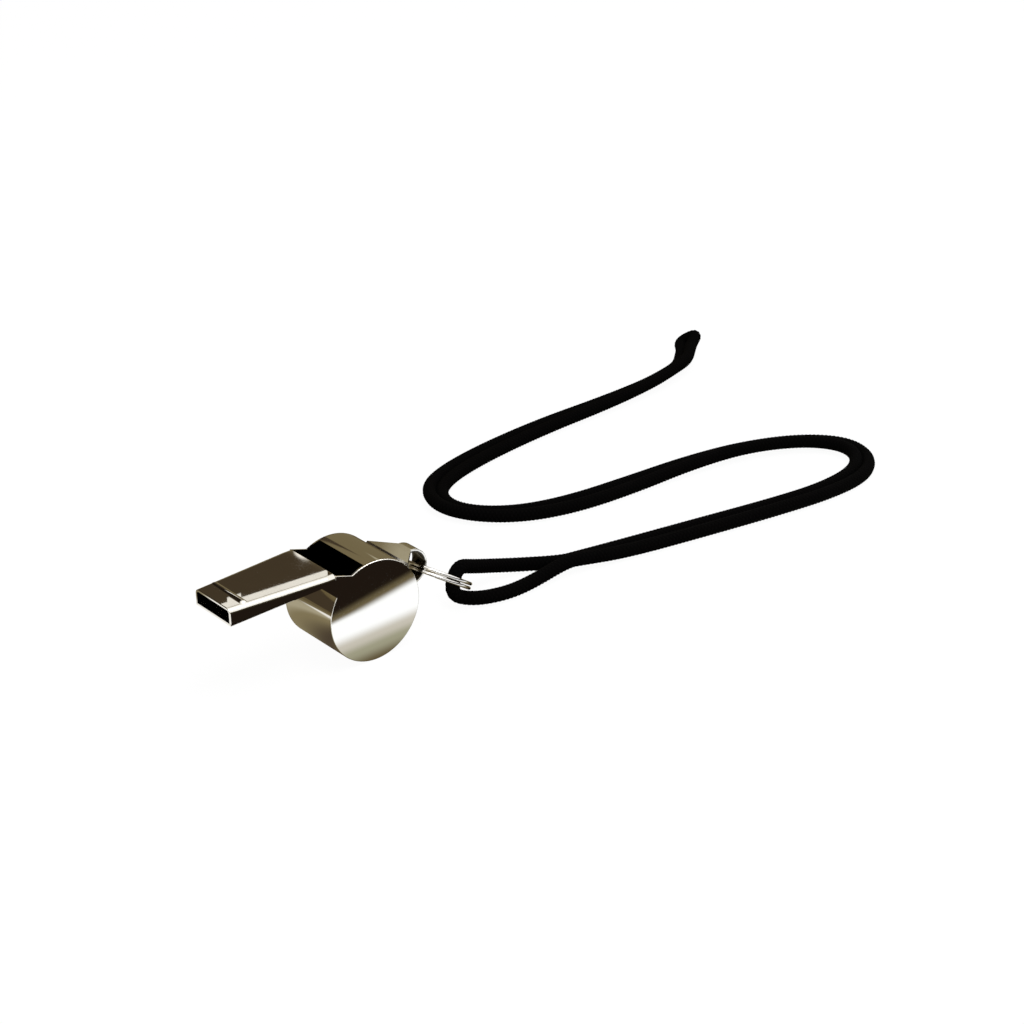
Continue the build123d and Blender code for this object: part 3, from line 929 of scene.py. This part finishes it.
@dataclass
class Studio:
    """White floor, surroundings and soft box round the whistle."""

    floor_size: float = 6000.0
    floor_drop: float = 0.06        # floor below the whistle's lowest point
    floor_glow: float = 0.92        # share of the floor's look that is its own light
    floor_level: float = 1.04       # strength of that light
    paper: float = 0.9              # share of light that the floor's paper returns
    lamp_power: float = 3.2
    lamp_size: float = 500.0
    lamp_place: Point = (100.0, -250.0, 800.0)
    fill: float = 0.45              # surroundings as a light on the pieces
    sky: float = 1.15               # surroundings as they are seen

    def build(self) -> None:
        """Sets up the floor, the surroundings and the lamp."""
        self.floor()
        self.world()
        self.lamp()

    @staticmethod
    def seen(board: NodeBoard) -> Socket:
        """Gives 1 for camera, glossy and transmission rays."""
        path = board.add("ShaderNodeLightPath").outputs
        seen = board.math("MAXIMUM", path["Is Camera Ray"], path["Is Glossy Ray"])
        return board.math("MAXIMUM", seen, path["Is Transmission Ray"])

    def floor(self) -> None:
        """Lays the white floor, which keeps a soft shadow."""
        shape = bmesh.new()
        bmesh.ops.create_grid(shape, x_segments=1, y_segments=1, size=self.floor_size / 2 * MM)
        bmesh.ops.translate(shape, verts=shape.verts, vec=(0, 0, -self.floor_drop * MM))
        piece = mesh_object("floor", shape, smooth=False)
        material, board = new_material("white_floor")
        paper = board.add("ShaderNodeBsdfDiffuse")
        paper.inputs["Color"].default_value = (self.paper, self.paper, self.paper, 1.0)
        glow = board.add("ShaderNodeEmission")
        glow.inputs["Strength"].default_value = self.floor_level
        mix = board.add("ShaderNodeMixShader")
        board.join(board.math("MULTIPLY", self.seen(board), self.floor_glow), mix.inputs["Fac"])
        board.join(paper.outputs["BSDF"], mix.inputs[1])
        board.join(glow.outputs["Emission"], mix.inputs[2])
        board.surface(mix.outputs["Shader"])
        piece.data.materials.append(material)

    def world(self) -> None:
        """Makes the surroundings white to the eye and in the metal, and a soft fill for the rest."""
        world = bpy.data.worlds.new("studio")
        world.use_nodes = True
        world.node_tree.nodes.clear()
        board = NodeBoard(world.node_tree)
        sky = board.add("ShaderNodeBackground")
        level = board.math("MULTIPLY_ADD", self.seen(board), self.sky - self.fill, self.fill)
        board.join(level, sky.inputs["Strength"])
        sky.inputs["Color"].default_value = (*Paint.WHITE.value, 1.0)
        board.join(sky.outputs["Background"], board.add("ShaderNodeOutputWorld").inputs["Surface"])
        bpy.context.scene.world = world

    def lamp(self) -> None:
        """Hangs the soft box overhead."""
        data = bpy.data.lights.new("soft_box", "AREA")
        data.energy = self.lamp_power
        data.size = self.lamp_size * MM
        lamp = bpy.data.objects.new("soft_box", data)
        bpy.context.scene.collection.objects.link(lamp)
        place = Vector(self.lamp_place) * MM
        turn = place.to_track_quat("Z", "Y").to_matrix().to_4x4()
        lamp.matrix_world = Matrix.Translation(place) @ turn


@dataclass
class PhotoView:
    """Camera at the view of the photograph, which looks past the barrel's foot by its two shifts."""

    axis_x: float
    azimuth: float = -39.64
    elevation: float = 25.89
    roll: float = 0.93
    distance: float = 409.67
    shift_right: float = -29.28
    shift_down: float = 24.61
    focal_px: float = 2200.0
    image_px: float = 1024.0
    clip_start: float = 10.0

    def build(self) -> None:
        """Stands the camera and makes it the scene's own."""
        azimuth, elevation = math.radians(self.azimuth), math.radians(self.elevation)
        level = math.cos(elevation)
        forward = Vector((-math.sin(azimuth) * level, math.cos(azimuth) * level, -math.sin(elevation)))
        right = forward.cross(Vector((0, 0, 1))).normalized()
        turn = Matrix.Rotation(math.radians(self.roll), 3, forward)
        right, down = turn @ right, turn @ forward.cross(right)
        place = -(right * self.shift_right + down * self.shift_down + forward * self.distance) * MM
        place.x += self.axis_x
        data = bpy.data.cameras.new("photo_view")
        data.angle = 2 * math.atan(self.image_px / 2 / self.focal_px)
        data.clip_start = self.clip_start * MM
        camera = bpy.data.objects.new("photo_view", data)
        axes = Matrix((right, -down, -forward)).transposed().to_4x4()
        camera.matrix_world = Matrix.Translation(place) @ axes
        bpy.context.scene.collection.objects.link(camera)
        bpy.context.scene.camera = camera


def main() -> None:
    """Builds and dresses the whistle, piece by piece."""
    logging.basicConfig(level=logging.INFO, format="%(name)s: %(message)s")
    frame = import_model()
    whistle = Whistle(frame["nodes"])
    whistle.dress()
    braid = Braid("black_braid", yarn=(0.0006, 0.0005, 0.0005), crown_highlight=(0.0020, 0.0017, 0.0016))
    lanyard = Lanyard(braid, whistle.axis_x)
    lanyard.build()
    lanyard.dress()
    Studio().build()
    Cards(whistle.axis_x).build()
    PhotoView(whistle.axis_x).build()
    bpy.context.scene.view_settings.view_transform = "Standard"


if __name__ == "__main__":
    main()
